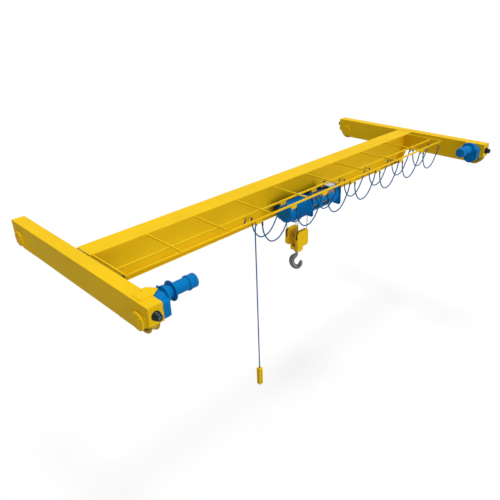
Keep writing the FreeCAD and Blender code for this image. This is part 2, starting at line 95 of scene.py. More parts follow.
# two close shades in broad patches, and the lowest and highest roughness of the fine grain
surfaceKit = {
    "yellow": {"colour": (0.93, 0.59, 0.006), "shade": (0.88, 0.55, 0.006), "rough": (0.42, 0.55),
               "gloss": 0.07, "grain": 34, "relief": 0.05},
    "blue": {"colour": (0.001, 0.195, 0.53), "shade": (0.001, 0.16, 0.45), "rough": (0.26, 0.38),
             "gloss": 0.07, "grain": 46, "relief": 0.07},
    "cable": {"colour": (0.001, 0.125, 0.34), "shade": (0.001, 0.10, 0.28), "rough": (0.35, 0.5),
              "gloss": 0.08, "grain": 220},
    "black": {"colour": (0.008, 0.009, 0.012), "shade": (0.014, 0.016, 0.02), "rough": (0.35, 0.55),
              "gloss": 0.25, "grain": 90, "relief": 0.15},
    "buffer": {"colour": (0.010, 0.024, 0.031), "shade": (0.006, 0.015, 0.020), "rough": (0.3, 0.42),
               "gloss": 0.2, "grain": 90, "relief": 0.1},
    "tip": {"colour": (0.06, 0.12, 0.14), "shade": (0.04, 0.09, 0.105), "rough": (0.25, 0.4),
            "gloss": 0.4, "grain": 90},
    "navy": {"colour": (0.004, 0.035, 0.10), "shade": (0.004, 0.022, 0.06), "rough": (0.35, 0.5),
             "gloss": 0.25, "grain": 70},
    "darkSteel": {"colour": (0.035, 0.04, 0.045), "shade": (0.02, 0.024, 0.028), "rough": (0.4, 0.6),
                  "metal": 0.2, "grain": 80},
    "steel": {"colour": (0.42, 0.42, 0.42), "shade": (0.28, 0.28, 0.29), "rough": (0.28, 0.45),
              "metal": 0.7, "grain": 130},
    "drum": {"colour": (0.27, 0.26, 0.265), "shade": (0.19, 0.185, 0.19), "rough": (0.4, 0.55),
             "metal": 0.2, "grain": 130},
    "forged": {"colour": (0.20, 0.21, 0.215), "shade": (0.12, 0.13, 0.135), "rough": (0.38, 0.56),
               "metal": 0.25, "gloss": 0.5, "grain": 55, "relief": 0.3, "broad": 9},
    "rope": {"colour": (0.15, 0.135, 0.105), "shade": (0.09, 0.08, 0.06), "rough": (0.4, 0.6),
             "metal": 0.3, "grain": 300},
    "grey": {"colour": (0.56, 0.60, 0.66), "shade": (0.50, 0.54, 0.60), "rough": (0.35, 0.5)},
    "wheel": {"colour": (0.60, 0.40, 0.02), "shade": (0.46, 0.30, 0.02), "rough": (0.4, 0.6),
              "gloss": 0.2, "grain": 50, "relief": 0.15},
    "red": {"colour": (0.55, 0.012, 0.008), "shade": (0.45, 0.01, 0.008), "rough": (0.25, 0.35)},
    "green": {"colour": (0.01, 0.26, 0.06), "shade": (0.01, 0.2, 0.05), "rough": (0.25, 0.35)},
}


def addNoise(tree, where, scale, detail):
    noise = tree.nodes.new("ShaderNodeTexNoise")
    noise.inputs["Scale"].default_value = scale
    noise.inputs["Detail"].default_value = detail
    tree.links.new(where.outputs["Object"], noise.inputs["Vector"])
    return noise


def newSurface(name, ownKit):
    kit = {**plainSurface, **ownKit}
    surface = bpy.data.materials.new(name)
    surface.use_nodes = True
    tree = surface.node_tree
    main = tree.nodes["Principled BSDF"]
    main.inputs["Metallic"].default_value = kit["metal"]
    main.inputs["Specular IOR Level"].default_value = kit["gloss"]
    where = tree.nodes.new("ShaderNodeTexCoord")
    broad = addNoise(tree, where, kit["broad"], kit["broadDetail"])
    ramp = tree.nodes.new("ShaderNodeValToRGB")
    for stop, end, colour in zip(ramp.color_ramp.elements, kit["shadeEnds"], (kit["shade"], kit["colour"])):
        stop.position = end
        stop.color = colour + (1,)
    tree.links.new(broad.outputs["Fac"], ramp.inputs["Fac"])
    tree.links.new(ramp.outputs["Color"], main.inputs["Base Color"])
    fine = addNoise(tree, where, kit["grain"], kit["grainDetail"])
    spread = tree.nodes.new("ShaderNodeMapRange")
    for word, end in zip(("From Min", "From Max", "To Min", "To Max"), kit["grainEnds"] + kit["rough"]):
        spread.inputs[word].default_value = end
    tree.links.new(fine.outputs["Fac"], spread.inputs["Value"])
    tree.links.new(spread.outputs["Result"], main.inputs["Roughness"])
    bump = tree.nodes.new("ShaderNodeBump")
    bump.inputs["Strength"].default_value = kit["relief"]
    bump.inputs["Distance"].default_value = kit["reliefHigh"]
    tree.links.new(fine.outputs["Fac"], bump.inputs["Height"])
    tree.links.new(bump.outputs["Normal"], main.inputs["Normal"])
    return surface


surfaces = {name: newSurface(name, kit) for name, kit in surfaceKit.items()}
print("surfaces ready:", len(surfaces))

# the looped cables run over a row of saddles, and the pendant cable hangs from the outer track
cordKit = {
    "railYs": {"inner": -860, "outer": -1145},
    "saddleZ": 305, "firstLoop": -1955, "pitch": 953, "loops": 7,
    "sideOut": 95, "sideUp": 86, "leadIn": 60, "clampZ": 365.8,
    # one loop, from the right of one saddle to the left of the next
    "loop": [(95, 86), (99, -96), (160, -268), (300, -430), (495, -440), (642, -345), (748, -200),
             (842, -45)],
    "cableWide": 26, "cableLong": 10.996,
    "pendant": [(-2050, 244.5), (-2055, 134.5), (-2049, -5.5), (-2046, -2939.9)],
    "pendantWide": 24, "pendantLong": 3.185,
}


def newCord(name, route, wide):
    line = bpy.data.curves.new(name, "CURVE")
    line.dimensions = "3D"
    line.bevel_depth = wide / 2000
    line.bevel_resolution = 3
    line.resolution_u = 14
    line.use_fill_caps = True
    spline = line.splines.new("NURBS")
    spline.points.add(len(route) - 1)
    for point, place in zip(spline.points, route):
        point.co = (*spot(*place), 1)
    spline.order_u = 3
    spline.use_endpoint_u = True
    cord = bpy.data.objects.new(name, line)
    scene.collection.objects.link(cord)
    line.materials.append(surfaces["cable"])
    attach(cord, "bridge")
    return cord


def cableRoute(y, kit=cordKit):
    z = kit["saddleZ"]
    left = kit["firstLoop"] - kit["sideOut"]
    route = [(left, y, z - kit["leadIn"]), (left, y, z + kit["sideUp"])]
    for i in range(kit["loops"]):
        x = kit["firstLoop"] + i * kit["pitch"]
        route += [(x + dx, y, z + dz) for dx, dz in kit["loop"]]
        if i < kit["loops"] - 1:
            route.append((x + kit["pitch"] - kit["sideOut"], y, z + kit["sideUp"]))
    route.append((kit["firstLoop"] + kit["loops"] * kit["pitch"] - kit["sideOut"], y, kit["clampZ"]))
    return route


for word, y in cordKit["railYs"].items():
    newCord(word + "Cable", cableRoute(y), cordKit["cableWide"])
    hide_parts(word + "_cable")
pendantRoute = [(x, cordKit["railYs"]["outer"], z) for x, z in cordKit["pendant"]]
pendantCable = newCord("pendantCable", pendantRoute, cordKit["pendantWide"])
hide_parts("pendant_cable")
print("cords laid: 3")


# shape helpers, with sizes in millimetres
def squareTo(along):
    w = Vector(along).normalized()
    u = Vector((0, 0, 1)).cross(w)
    if u.length < 0.1:  # along the upright
        u = Vector((1, 0, 0))
    u.normalize()
    return u, w.cross(u), w


def addRing(bm, middle, u, v, r, sides, first=0.0):
    ring = []
    for i in range(sides):
        t = 2 * math.pi * (i + first) / sides
        ring.append(bm.verts.new(middle + (u * math.cos(t) + v * math.sin(t)) * (r / 1000)))
    return ring


def joinRings(bm, a, b):
    if len(a) == 1 and len(b) == 1:
        return
    n = max(len(a), len(b))
    for i in range(n):
        j = (i + 1) % n
        if len(a) == 1:
            bm.faces.new((a[0], b[i], b[j]))
        elif len(b) == 1:
            bm.faces.new((a[i], a[j], b[0]))
        else:
            bm.faces.new((a[i], a[j], b[j], b[i]))


def skinRings(bm, rings):
    # faces from each ring to the next, and over both open ends
    for a, b in zip(rings, rings[1:]):
        joinRings(bm, a, b)
    for ring in (rings[0], rings[-1]):
        if len(ring) > 2:
            bm.faces.new(ring)


def addTurned(bm, place, along, profile, sides=40):
    # profile: (distance along, radius) pairs, from one end to the other
    u, v, w = squareTo(along)
    base = spot(*place)
    rings = []
    for s, r in profile:
        middle = base + w * (s / 1000)
        if r < 0.01:
            rings.append([bm.verts.new(middle)])
        else:
            rings.append(addRing(bm, middle, u, v, r, sides, 0.5))
    skinRings(bm, rings)


def addPrism(bm, plane, outline, a, b):
    # plane "yz", "xz" or "xy" holds the outline, and the piece runs from a to b across it
    place = {
        "yz": lambda p, s: spot(s, p[0], p[1]),
        "xz": lambda p, s: spot(p[0], s, p[1]),
        "xy": lambda p, s: spot(p[0], p[1], s),
    }[plane]
    low = [bm.verts.new(place(p, a)) for p in outline]
    high = [bm.verts.new(place(p, b)) for p in outline]
    skinRings(bm, [low, high])


def addBlock(bm, x0, x1, y0, y1, z0, z1):
    addPrism(bm, "xy", [(x0, y0), (x1, y0), (x1, y1), (x0, y1)], z0, z1)


# profiles of washer, hexagon head and thread's end, as shares of the bolt's size
boltKit = {
    "washer": (0.92, 0.86), "head": (0.58, 0.48), "headHigh": (0.55, 0.64),
    "thread": (0.3, 0.24), "threadHigh": (0.6, 0.8, 0.86),
}


def addBolt(bm, place, along, wide, kit=boltKit):
    outer, rim = [wide * share for share in kit["washer"]]
    flat, corner = [wide * share for share in kit["head"]]
    flatEnd, headEnd = [wide * share for share in kit["headHigh"]]
    thread, tip = [wide * share for share in kit["thread"]]
    low, high, end = [wide * share for share in kit["threadHigh"]]
    addTurned(bm, place, along, [(-1, outer), (2.5, outer), (3, rim)], 20)
    addTurned(bm, place, along, [(2, flat), (flatEnd, flat), (headEnd, corner)], 6)
    addTurned(bm, place, along, [(low, thread), (high, thread), (end, tip)], 12)


def addBead(bm, a, b, r, step=30):
    # a rippled weld from a to b
    start, end = spot(*a), spot(*b)
    u, v, w = squareTo(end - start)
    count = max(2, int((end - start).length * 1000 / step))
    rings = []
    for i in range(count + 1):
        ripple = 0.85 + 0.3 * random.random()
        rings.append(addRing(bm, start.lerp(end, i / count), u, v, r * ripple, 6))
    skinRings(bm, rings)


def addSweep(bm, points, r, sides=6):
    # a round bar along points given in the frame
    rings = []
    side = None
    for i, p in enumerate(points):
        w = (points[min(i + 1, len(points) - 1)] - points[max(i - 1, 0)]).normalized()
        if side is None:
            side = squareTo(w)[0]
        side = (side - w * side.dot(w)).normalized()
        rings.append(addRing(bm, p, side, w.cross(side), r, sides))
    skinRings(bm, rings)


def circle(n, r, turn=0.0):
    angles = [turn + 2 * math.pi * i / n for i in range(n)]
    return [(r * math.cos(t), r * math.sin(t)) for t in angles]


def softEdges(piece, wide):
    if wide:
        edge = piece.modifiers.new("edge", "BEVEL")
        edge.width = wide / 1000
        edge.segments = 2
        edge.limit_method = "ANGLE"
        edge.angle_limit = math.radians(32)
        edge.use_clamp_overlap = True


def finishPiece(name, bm, surface, body, stands=(), edge=0.0, ridden=True, sharp=32):
    bmesh.ops.recalc_face_normals(bm, faces=bm.faces)
    mesh = bpy.data.meshes.new(name)
    bm.to_mesh(mesh)
    bm.free()
    mesh.polygons.foreach_set("use_smooth", [True] * len(mesh.polygons))
    mesh.set_sharp_from_angle(angle=math.radians(sharp))
    mesh.materials.append(surfaces[surface])
    piece = bpy.data.objects.new(name, mesh)
    scene.collection.objects.link(piece)
    softEdges(piece, edge)
    if ridden:
        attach(piece, body)
    if stands:
        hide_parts(*stands)
    return piece


joinGap = 0.00002  # metres, between points that count as one


def dress(node, name, surface, body, edge):
    # a clean copy of a made node, with softened edges
    bm = bmesh.new()
    bm.from_mesh(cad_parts[node].data)
    bmesh.ops.remove_doubles(bm, verts=bm.verts, dist=joinGap)
    bmesh.ops.dissolve_limit(bm, angle_limit=math.radians(0.6), verts=bm.verts, edges=bm.edges)
    return finishPiece(name, bm, surface, body, (node,), edge)


def keepNode(node, surface, edge):
    # the made node stays in view, with softened edges and its own paint
    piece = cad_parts[node]
    piece.data.materials.clear()
    piece.data.materials.append(surfaces[surface])
    join = piece.modifiers.new("join", "WELD")
    join.merge_threshold = joinGap
    softEdges(piece, edge)
    return piece


girderKit = {
    "plates": [("girder_top_flange", "girderTop", 2.5), ("girder_web", "girderWeb", 1.5),
               ("girder_bottom_flange", "girderLow", 3), ("girder_end_plates", "girderEnds", 3)],
    "top": 488, "low": -230, "web": 6, "half": 4850, "lowHalf": 4500, "slopeTop": (4750, 61),
    "seams": (-3050, -550, 2050), "weld": 6, "seamWeld": 3.2,
    "boltYs": (-185, 185), "boltZs": (90, 180, 270, 360, 440), "bolt": 22,
}


def weldGirder(kit=girderKit):
    top, low, weld = kit["top"], kit["low"], kit["weld"]
    endX = kit["half"] + 3
    slopeX, slopeZ = kit["slopeTop"]
    bm = bmesh.new()
    for s in (-1, 1):
        y = s * (kit["web"] + 2)
        addBead(bm, (-kit["half"], y, top - 2), (kit["half"], y, top - 2), weld)
        addBead(bm, (-kit["lowHalf"], y, low + 2), (kit["lowHalf"], y, low + 2), weld)
        for e in (-1, 1):
            addBead(bm, (e * (kit["lowHalf"] + 10), y, low + 2), (e * slopeX, y, slopeZ), weld)
            addBead(bm, (e * endX, y, slopeZ + 1), (e * endX, y, top - 4), weld)
        for x in kit["seams"]:
            webY = s * kit["web"]
            addBead(bm, (x, webY, low + 3), (x, webY, top - 3), kit["seamWeld"])
    finishPiece("girderWelds", bm, "yellow", "bridge")


# painted shade: black shims in the gaps between the girder and its carriages, and a black strip with clips
# and a box beside the left carriage, set where those gaps lie in shade
gapShadowKit = {
    "from": 4851, "to": 4874, "half": 214, "low": 471, "high": 486,
    "lugYs": (-150, -50, 50, 150), "clipYs": (-300, -520, -740, -960, -1100), "lugHalf": 12,
    "shadeStrip": [(-4874, 448), (-4846, 448), (-4846, 476), (-4852, 482), (-4874, 482)],
    "clip": [(-4874, 444), (-4843, 444), (-4843, 478), (-4851, 485), (-4874, 485)],
    "box": [(-4874, 430), (-4826, 430), (-4826, 478), (-4834, 486), (-4874, 486)],
    "shadeStripYs": (-1150, -236), "boxYs": (-1215, -1150),
}


def fillGapShadow(kit=gapShadowKit):
    half = kit["lugHalf"]
    bm = bmesh.new()
    for e in (-1, 1):
        near, far = e * kit["from"], e * kit["to"]
        addBlock(bm, near, far, -kit["half"], kit["half"], kit["low"], kit["high"])
        for y in kit["lugYs"]:
            addBlock(bm, near, far, y - half, y + half, kit["high"] - 2, kit["high"] + 8)
    addPrism(bm, "xz", kit["shadeStrip"], *kit["shadeStripYs"])
    for y in kit["clipYs"]:
        addPrism(bm, "xz", kit["clip"], y - half, y + half)
    addPrism(bm, "xz", kit["box"], *kit["boxYs"])
    # the black of these pieces is painted shade in the gaps
    finishPiece("gapShadowFill", bm, "black", "bridge", (), 1)


def boltGirder(kit=girderKit):
    bm = bmesh.new()
    for e in (-1, 1):
        for y in kit["boltYs"]:
            for z in kit["boltZs"]:
                addBolt(bm, (e * (kit["half"] + 5), y, z), (-e, 0, 0), kit["bolt"])
    finishPiece("girderBolts", bm, "yellow", "bridge")


for node, name, edge in girderKit["plates"]:
    dress(node, name, "yellow", "bridge", edge)
weldGirder()
fillGapShadow()
boltGirder()
print("girder made")

carriageKit = {
    "out": 5000, "half": 125, "end": 2215, "top": 500, "low": 20, "wheelY": 1960, "wheelZ": 200,
    "lowWeld": 1870, "topWeld": 2200, "weld": 2.5, "endWeld": 3,
    "capBolts": (6, 118, 0.3), "bolt": 18, "padBolts": ((1800, 305), (2105, 305), (1520, 60)), "padBolt": 16,
    "cap": [(0, 78), (5, 78), (9, 72), (9, 30), (12, 27), (12, 0)],
    "bufferZ": 334,
    "buffer": [(-2, 76), (4, 77), (10, 76), (12, 72), (22, 73), (26, 71), (72, 56), (75, 58), (82, 56),
               (100, 47), (103, 48), (108, 45), (110, 38), (110, 0)],
    "tip": [(0, 36), (2.5, 36), (4, 33), (4, 12), (2, 10), (2, 0)],
    "bufferBolts": ((-88, 95), (88, 95), (-88, -105), (88, -105)), "bufferBolt": 15,
}


def buildCarriageSides(beads, bolts, caps, kit=carriageKit):
    for e in (-1, 1):
        for side in (-1, 1):
            x = e * kit["out"] + side * kit["half"]
            for z, y in ((kit["low"] + 14, kit["lowWeld"]), (kit["top"] - 14, kit["topWeld"])):
                addBead(beads, (x - side, -y, z), (x - side, y, z), kit["weld"])
            for s in (-1, 1):
                wheelY = s * kit["wheelY"]
                for y, z in circle(*kit["capBolts"]):
                    addBolt(bolts, (x + side * 41, wheelY + y, kit["wheelZ"] + z), (side, 0, 0), kit["bolt"])
                for y, z in kit["padBolts"]:
                    addBolt(bolts, (x + side * 11, s * y, z), (side, 0, 0), kit["padBolt"])
                driven = s < 0 and side == -e
                if not driven:
                    addTurned(caps, (x + side * 42, wheelY, kit["wheelZ"]), (side, 0, 0), kit["cap"])
        buildCarriageEnds(e, beads, bolts)


def buildCarriageEnds(e, beads, bolts, kit=carriageKit):
    for s in (-1, 1):
        y = s * (kit["end"] - 6)
        for dx, dz in kit["bufferBolts"]:
            place = (e * kit["out"] + dx, y - s, kit["bufferZ"] + dz)
            addBolt(bolts, place, (0, s, 0), kit["bufferBolt"])
        for side in (-1, 1):
            x = e * kit["out"] + side * 116
            addBead(beads, (x, s * 2208, 196), (x, s * 2208, 484), kit["endWeld"])


def buildBuffers(kit=carriageKit):
    cones, tips = bmesh.new(), bmesh.new()
    for e in (-1, 1):
        for s in (-1, 1):
            x = e * kit["out"]
            y = s * (kit["end"] - 6)
            addTurned(cones, (x, y, kit["bufferZ"]), (0, s, 0), kit["buffer"], 48)
            addTurned(tips, (x, y + s * 108, kit["bufferZ"]), (0, s, 0), kit["tip"], 36)
    finishPiece("bufferCones", cones, "buffer", "bridge", ("buffers",), 1.5)
    finishPiece("bufferTips", tips, "tip", "bridge")


def buildCarriages():
    for word in ("left", "right"):
        dress(word + "_carriage", word + "Carriage", "yellow", "bridge", 4)
    dress("carriage_end_plates", "carriageEnds", "yellow", "bridge", 2)
    dress("wheel_pads", "wheelPads", "yellow", "bridge", 2)
    beads, bolts, caps = bmesh.new(), bmesh.new(), bmesh.new()
    buildCarriageSides(beads, bolts, caps)
    finishPiece("carriageWelds", beads, "yellow", "bridge")
    finishPiece("carriageBolts", bolts, "yellow", "bridge")
    finishPiece("bearingCaps", caps, "yellow", "bridge", (), 1.5)
    buildBuffers()


buildCarriages()

wheelKit = {
    # half of the tyre's section, from the hub outward, which is mirrored
    "tyre": [(-75, 0), (-75, 40), (-70, 62), (-50, 72), (-46, 90), (-46, 150), (-52, 172), (-74, 182),
             (-75, 216), (-69, 228), (-60, 228), (-48, 206), (-44, 200)],
    "shaft": 40, "shaftEnd": 36, "bevel": 4, "short": 149, "long": 275,
}


def mirrored(half, middle=()):
    return half + list(middle) + [(-s, r) for s, r in reversed(half)]


def buildCraneWheels(kit=wheelKit):
    for word, e in (("left", -1), ("right", 1)):
        for end, s in (("near", -1), ("far", 1)):
            bm = bmesh.new()
            middle = (e * carriageKit["out"], s * carriageKit["wheelY"], carriageKit["wheelZ"])
            addTurned(bm, middle, (1, 0, 0), mirrored(kit["tyre"]), 64)
            driven = s < 0  # its shaft reaches into the drive
            a = -kit["long"] if driven and e > 0 else -kit["short"]
            b = kit["long"] if driven and e < 0 else kit["short"]
            shaft = [(a, kit["shaftEnd"]), (a + kit["bevel"], kit["shaft"]),
                     (b - kit["bevel"], kit["shaft"]), (b, kit["shaftEnd"])]
            addTurned(bm, middle, (1, 0, 0), shaft)
            body = "wheel_" + word + "_" + end
            finishPiece("craneWheel" + word.title() + end.title(), bm, "wheel", body, (body,), 1.5)


buildCraneWheels()
print("end carriages made")

driveKit = {
    "y": -carriageKit["wheelY"],
    "motorOut": 315, "motorZ": 425, "capOut": 224, "lidOut": 184, "plateTop": 512,
    "motor": [(0, 0), (0, 156), (3, 160), (15, 160), (18, 157), (18, 112), (24, 104), (46, 101), (50, 100),
              (150, 100), (152, 102), (158, 102), (160, 100), (282, 100), (286, 108), (290, 117), (294, 120),
              (318, 120), (322, 117), (325, 111), (330, 110), (400, 112), (424, 113), (436, 111), (442, 106),
              (444, 98), (444, 88), (447, 86), (448, 60), (451, 56), (451, 0)],
    "cap": [(0, 90), (7, 90), (10, 86), (10, 48), (13, 44), (20, 40), (20, 0)],
    "capBolts": (6, 76, 0.5), "flangeBolts": (8, 136, 0.2),
    # round the gear case's lid
    "lidBolts": ((-150, 175), (-150, 275), (-150, 365), (-70, 452), (35, 470),
                 (105, 410), (132, 300), (122, 160), (40, 72), (-70, 92)),
    "plateBolts": ((60, 75), (125, 75), (-150, 0), (-150, 150), (-50, 150)),
    "plugs": ((60, 360), (160, 210)), "plug": [(0, 13), (8, 13), (9, 11), (14, 10)],
    "eyeAt": (172, 104, 484),
    "eye": [(0, 22), (8, 22), (10, 14), (22, 13), (26, 20), (44, 20), (48, 14), (48, 0)],
    "vents": (12, 73), "vent": [(0, 6), (1.5, 6)], "hub": [(0, 18), (2.5, 18), (3, 16)],
}


def buildDrives(kit=driveKit):
    dress("drive_brackets", "driveBrackets", "yellow", "bridge", 2)
    dress("travel_reducers", "travelReducers", "blue", "bridge", 7)
    motors, covers, bolts, dark, plateBolts = [bmesh.new() for i in range(5)]
    y, z, wheelZ = kit["y"], kit["motorZ"], carriageKit["wheelZ"]
    for e in (-1, 1):
        inward = (-e, 0, 0)
        face = e * carriageKit["out"] - e * carriageKit["half"]
        motorX = face - e * kit["motorOut"]
        addTurned(motors, (motorX, y, z), inward, kit["motor"], 56)
        # output cap over the wheel's shaft
        capX = face - e * kit["capOut"]
        addTurned(covers, (capX, y, wheelZ), inward, kit["cap"], 44)
        for dy, dz in circle(*kit["capBolts"]):
            addBolt(bolts, (capX - e * 9, y + dy, wheelZ + dz), inward, 11)
        for dy, height in kit["lidBolts"]:
            addBolt(bolts, (face - e * kit["lidOut"], y + dy, height), inward, 13)
        for dy, dz in circle(*kit["flangeBolts"]):
            addBolt(bolts, (motorX - e * 17, y + dy, z + dz), inward, 14)
        for dx, dy in kit["plateBolts"]:
            addBolt(plateBolts, (face - e * dx, y + dy, kit["plateTop"]), (0, 0, 1), 18)
        # oil plugs and a lifting eye
        for dx, height in kit["plugs"]:
            addTurned(bolts, (face - e * dx, y - 164, height), (0, -1, 0), kit["plug"], 6)
        eyeX, eyeY, eyeZ = kit["eyeAt"]
        addTurned(bolts, (face - e * eyeX, y + eyeY, eyeZ), (0, 0, 1), kit["eye"], 20)
        # fan guard on the motor's end
        for dy, dz in circle(*kit["vents"]):
            addTurned(dark, (motorX - e * 446.5, y + dy, z + dz), inward, kit["vent"], 12)
        addTurned(dark, (motorX - e * 450, y, z), inward, kit["hub"], 24)
    finishPiece("travelMotors", motors, "blue", "bridge", ("travel_motors",), 0)
    finishPiece("reducerCovers", covers, "blue", "bridge", (), 1.5)
    finishPiece("driveBolts", bolts, "blue", "bridge")
    finishPiece("driveFittings", dark, "darkSteel", "bridge")
    finishPiece("bracketBolts", plateBolts, "yellow", "bridge")


buildDrives()
print("travel drives made")

# the arms, tracks and cable trolleys beside the girder
runKit = {
    "armFirst": -4800, "armLast": 4655, "arms": 10,
    "padHalf": 30, "padWide": 24, "padEnd": -1160, "padZs": (458, 463), "padBolt": 8,
    "foot": ((-28, 487), (28, 487), (16, 460), (-16, 460)), "footYs": (-212, -206),
    "saddleBolt": 9, "sleeveOut": 96.2, "sleeveUp": 52, "sleeveLow": {"inner": 30, "outer": -5},
}


def buildArmClamps(bolts, kit=runKit):
    clamps = bmesh.new()
    half, wide = kit["padHalf"], kit["padWide"]
    low, high = kit["padZs"]
    step = (kit["armLast"] - kit["armFirst"]) / (kit["arms"] - 1)
    for i in range(kit["arms"]):
        x = kit["armFirst"] + i * step
        for y in cordKit["railYs"].values():
            addBlock(clamps, x - half, x + half, max(y - wide, kit["padEnd"]), y + wide, low, high)
            for s in (-1, 1):
                addBolt(bolts, (x + s * 22, y, high), (0, 0, 1), kit["padBolt"])
        # foot of each arm, welded under the top plate
        addPrism(clamps, "xz", [(x + dx, z) for dx, z in kit["foot"]], *kit["footYs"])
        addBead(clamps, (x - 13, -219, 486), (x + 13, -219, 486), 3, 8)
    return clamps


def buildSleeves(word, y, bolts, kit=runKit):
    # a sleeve grips the cable beside each saddle
    long = kit["sleeveUp"] - kit["sleeveLow"][word]
    sleeve = [(-6, 14), (-6, 16), (0, 17), (4, 16), (26, 16), (28, 17.5),
              (long, 17.5), (long + 4, 15), (long + 4, 13.1)]
    bm = bmesh.new()
    for i in range(cordKit["loops"]):
        x = cordKit["firstLoop"] + i * cordKit["pitch"]
        z = cordKit["saddleZ"]
        for s in (-1, 1):
            addBolt(bolts, (x, y + s * 16, z + 84), (0, s, 0), kit["saddleBolt"])
        addTurned(bm, (x + kit["sleeveOut"], y, z + kit["sleeveUp"]), (0.02, 0, -1), sleeve, 20)
    return bm


def buildCableRun():
    dress("rail_arms", "railArms", "yellow", "bridge", 3)
    dress("cable_tracks", "cableTracks", "yellow", "bridge", 2)
    dress("cable_trolleys", "cableTrolleys", "yellow", "bridge", 1)
    bolts = bmesh.new()
    clamps = buildArmClamps(bolts)
    sleeves = []
    for word, y in cordKit["railYs"].items():
        bm = buildSleeves(word, y, bolts)
        sleeves.append(finishPiece("cableSleeves%d" % len(sleeves), bm, "black", "bridge"))
    finishPiece("armClamps", clamps, "yellow", "bridge", (), 1)
    finishPiece("runBolts", bolts, "yellow", "bridge")
    return sleeves


sleevePieces = buildCableRun()

# the hand control at the end of the pendant cable
pendantKit = {
    "x": -2046, "y": cordKit["railYs"]["outer"], "top": -2916, "low": -3350, "half": 45,
    "gland": [(0, 26), (6, 26), (8, 22), (8, 16), (19, 15), (22, 11)],
    "collar": [(-2, 19), (-0.5, 19), (1, 17)],
    "buttons": [(-2985, "red"), (-3055, "black"), (-3105, "black"), (-3155, "black"),
                (-3205, "black"), (-3255, "black"), (-3305, "green")],
    "buttonR": {"red": 16, "black": 12.5, "green": 12.5},
}


def buildPendant(kit=pendantKit):
    x, y, h = kit["x"], kit["y"], kit["half"]
    box = keepNode("pendant_box", "yellow", 3)
    bm = bmesh.new()
    addTurned(bm, (x, y, kit["top"] - 22), (0, 0, 1), kit["gland"], 24)
    for z, word in kit["buttons"]:
        addTurned(bm, (x, y - h + 3, z), (0, -1, 0), kit["collar"], 24)
    for x0, x1 in ((x - h - 0.4, x - h + 1), (x + h - 1, x + h + 0.4)):
        addBlock(bm, x0, x1, y - 3, y + 3, kit["low"] + 26, kit["top"] - 46)
    finishPiece("pendantTrim", bm, "black", "bridge")
    for word, r in kit["buttonR"].items():
        bm = bmesh.new()
        button = [(-1, r * 0.8), (2, r * 0.8), (2.5, r), (5, r), (6.5, r * 0.8), (7, 0)]
        for z, colour in kit["buttons"]:
            if colour == word:
                addTurned(bm, (x, y - h + 2, z), (0, -1, 0), button, 24)
        finishPiece("pendantButtons" + word.title(), bm, word, "bridge")
    return box


pendantBox = buildPendant()
cableStarts = {word: spot(*cableRoute(y)[0]) for word, y in cordKit["railYs"].items()}
print("cable run and hand control made")

trolleyKit = {
    "x": 410, "wheels": (-710, -380, 210, 550), "wheelZ": -105, "inY": 62, "plateY": 196, "plate": 14,
    "disc": [(0, 0), (0, 30), (2, 34), (2, 96), (0, 104), (0, 122), (3, 125), (108, 125), (111, 139),
             (114, 143), (121, 143), (124, 139), (124, 112), (118, 104), (112, 60), (124, 52), (124, 22),
             (170, 22), (170, 0)],
    "keeper": ((-55, -160), (55, -160), (55, -145), (-55, -145)), "keeperBolts": (-42, 42),
    "beams": (-620, 450), "beamBolts": ((-65, -290), (65, -290), (-65, -324), (65, -324)),
    "tieBolts": (-180, 0, 180),
}


def buildTrolleyWheels(kit=trolleyKit):
    for word, s in (("near", -1), ("far", 1)):
        for n, x in enumerate(kit["wheels"]):
            bm = bmesh.new()
            addTurned(bm, (kit["x"] + x, s * kit["inY"], kit["wheelZ"]), (0, s, 0), kit["disc"], 48)
            body = "trolley_wheel_%s_%d" % (word, n + 1)
            finishPiece("trolleyWheel%s%d" % (word.title(), n + 1), bm, "navy", body, (body,), 0.8)


def buildTrolleyBolts(kit=trolleyKit):
    bolts, keepers = bmesh.new(), bmesh.new()
    y = kit["plateY"] + kit["plate"]
    for s in (-1, 1):
        out = (0, s, 0)
        for x in kit["wheels"]:
            axle = kit["x"] + x
            # keeper plate over each axle, with its two bolts
            addPrism(keepers, "xz", [(axle + dx, z) for dx, z in kit["keeper"]], s * y, s * (y + 8))
            for d in kit["keeperBolts"]:
                addBolt(bolts, (axle + d, s * (y + 7), -152), out, 14)
        for x in kit["beams"]:
            for dx, z in kit["beamBolts"]:
                addBolt(bolts, (kit["x"] + x + dx, s * y, z), out, 18)
        for x in kit["tieBolts"]:
            addBolt(bolts, (kit["x"] + x, s * y, -318), out, 18)
    finishPiece("axleKeepers", keepers, "blue", "hoist", (), 1)
    finishPiece("trolleyBolts", bolts, "blue", "hoist")


# stops at both ends of the trolley's run, on the girder's lower flange
stopKit = {
    "xs": (-4375, 4280), "low": -230, "high": -140, "base": -220, "half": 40, "ys": (100, 170),
    "ribYs": (118, 152), "plateFrom": 28, "slope": (10, -200), "bolts": (-24, 12), "boltYs": (112, 158),
    "padAt": (135, -185),
    "pad": [(0, 32), (14, 32), (17, 28), (20, 31), (34, 31), (40, 27), (45, 16), (45, 0)],
}


